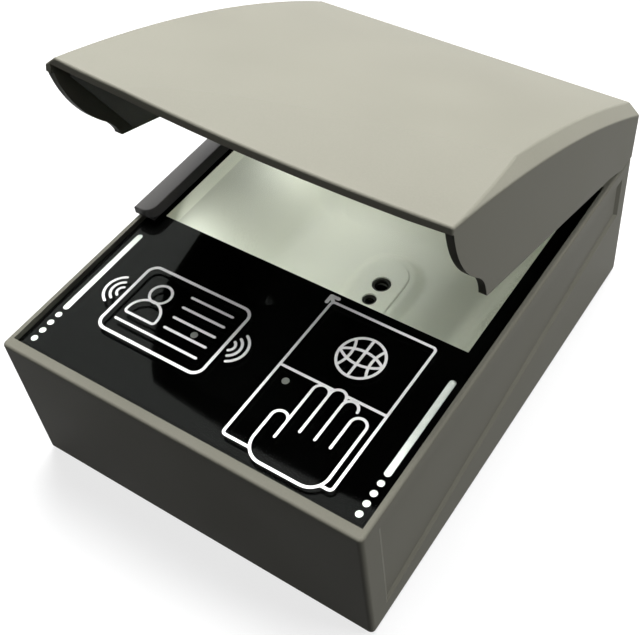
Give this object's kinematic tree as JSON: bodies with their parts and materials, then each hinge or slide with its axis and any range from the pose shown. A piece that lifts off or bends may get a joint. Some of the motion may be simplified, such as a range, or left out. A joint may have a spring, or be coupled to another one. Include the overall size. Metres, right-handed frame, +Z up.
{
  "type": "travel document scanner",
  "caption": "Desktop reader for passports and cards: box body with a glass top over a lit camera chamber, and a hinged hood that shades the window.",
  "frame": {"origin": "centre of the footprint, on the surface that the rubber feet stand on", "axes": "+Z up, -Y towards the user at the open front, +Y towards the hinges, +X to the user's right"},
  "size_m": [0.16, 0.2088, 0.1623],
  "materials": {
    "body_finish": "satin warm grey paint on moulded plastic",
    "rail_finish": "satin light grey plastic",
    "liner_black": "matt black plastic",
    "cover_glass": "clear polished glass",
    "lens_glass": "coated lens glass",
    "black_print": "black ceramic print under the glass",
    "chamber_white": "satin white reflecting plastic",
    "diffuser": "milky translucent plastic",
    "rubber": "black rubber",
    "screw_steel": "plated steel",
    "hinge_steel": "dark plated steel",
    "board_green": "green circuit board",
    "chip_black": "black moulded chip",
    "lamp_resin": "yellowish lamp resin",
    "heat_sink": "black anodised aluminium",
    "post_brass": "plain brass",
    "ribbon": "flat white ribbon"
  },
  "bodies": {
    "base": {"body_shell": "body_finish", "stop_rail": "rail_finish", "bottom_plate": "liner_black", "main_lens_barrel": "liner_black", "second_lens_barrel": "liner_black", "presence_sensors": "liner_black", "cover_glass": "cover_glass", "main_lens": "lens_glass", "second_lens": "lens_glass", "black_mask": "black_print", "light_chamber": "chamber_white", "boss_cover": "chamber_white", "light_diffuser_front": "diffuser", "light_diffuser_rear": "diffuser", "status_light_guide_left": "diffuser", "status_light_guide_right": "diffuser", "rubber_feet": "rubber", "rail_gasket": "rubber", "adhesive_frame": "rubber", "bottom_screws": "screw_steel", "chamber_screws": "screw_steel", "antenna_post_screws": "screw_steel", "main_board_screws": "screw_steel", "camera_board_screws": "screw_steel", "port_board_screws": "screw_steel", "antenna_board_screws": "screw_steel", "bracket_screws": "screw_steel", "data_port": "screw_steel", "hinge_bracket_left": "hinge_steel", "hinge_bracket_right": "hinge_steel", "main_board": "board_green", "camera_board": "board_green", "port_board": "board_green", "antenna_board": "board_green", "light_board_front": "board_green", "light_board_rear": "board_green", "processor": "chip_black", "memory_chips": "chip_black", "image_sensors": "chip_black", "power_inlet": "chip_black", "white_lamps": "lamp_resin", "ultraviolet_lamps": "lamp_resin", "infrared_lamps": "lamp_resin", "status_lamps": "lamp_resin", "heat_sink": "heat_sink", "antenna_posts": "post_brass", "port_ribbon_cable": "ribbon", "camera_ribbon_cable": "ribbon"},
    "hood": {"hood_shell": "body_finish", "hood_liner": "liner_black", "liner_screws": "screw_steel", "hinge_arm_left": "hinge_steel", "hinge_arm_right": "hinge_steel", "arm_screws": "screw_steel", "hinge_pins": "screw_steel", "friction_washers": "screw_steel", "disc_washers": "screw_steel", "hinge_nuts": "screw_steel"}
  },
  "joints": [
    {"name": "hood_hinge", "type": "hinge", "parent": "base", "child": "hood", "pos_m": [0, 0.09356, 0.073], "axis": [-1, 0, 0], "range_deg": [-17.2, 0]}
  ]
}
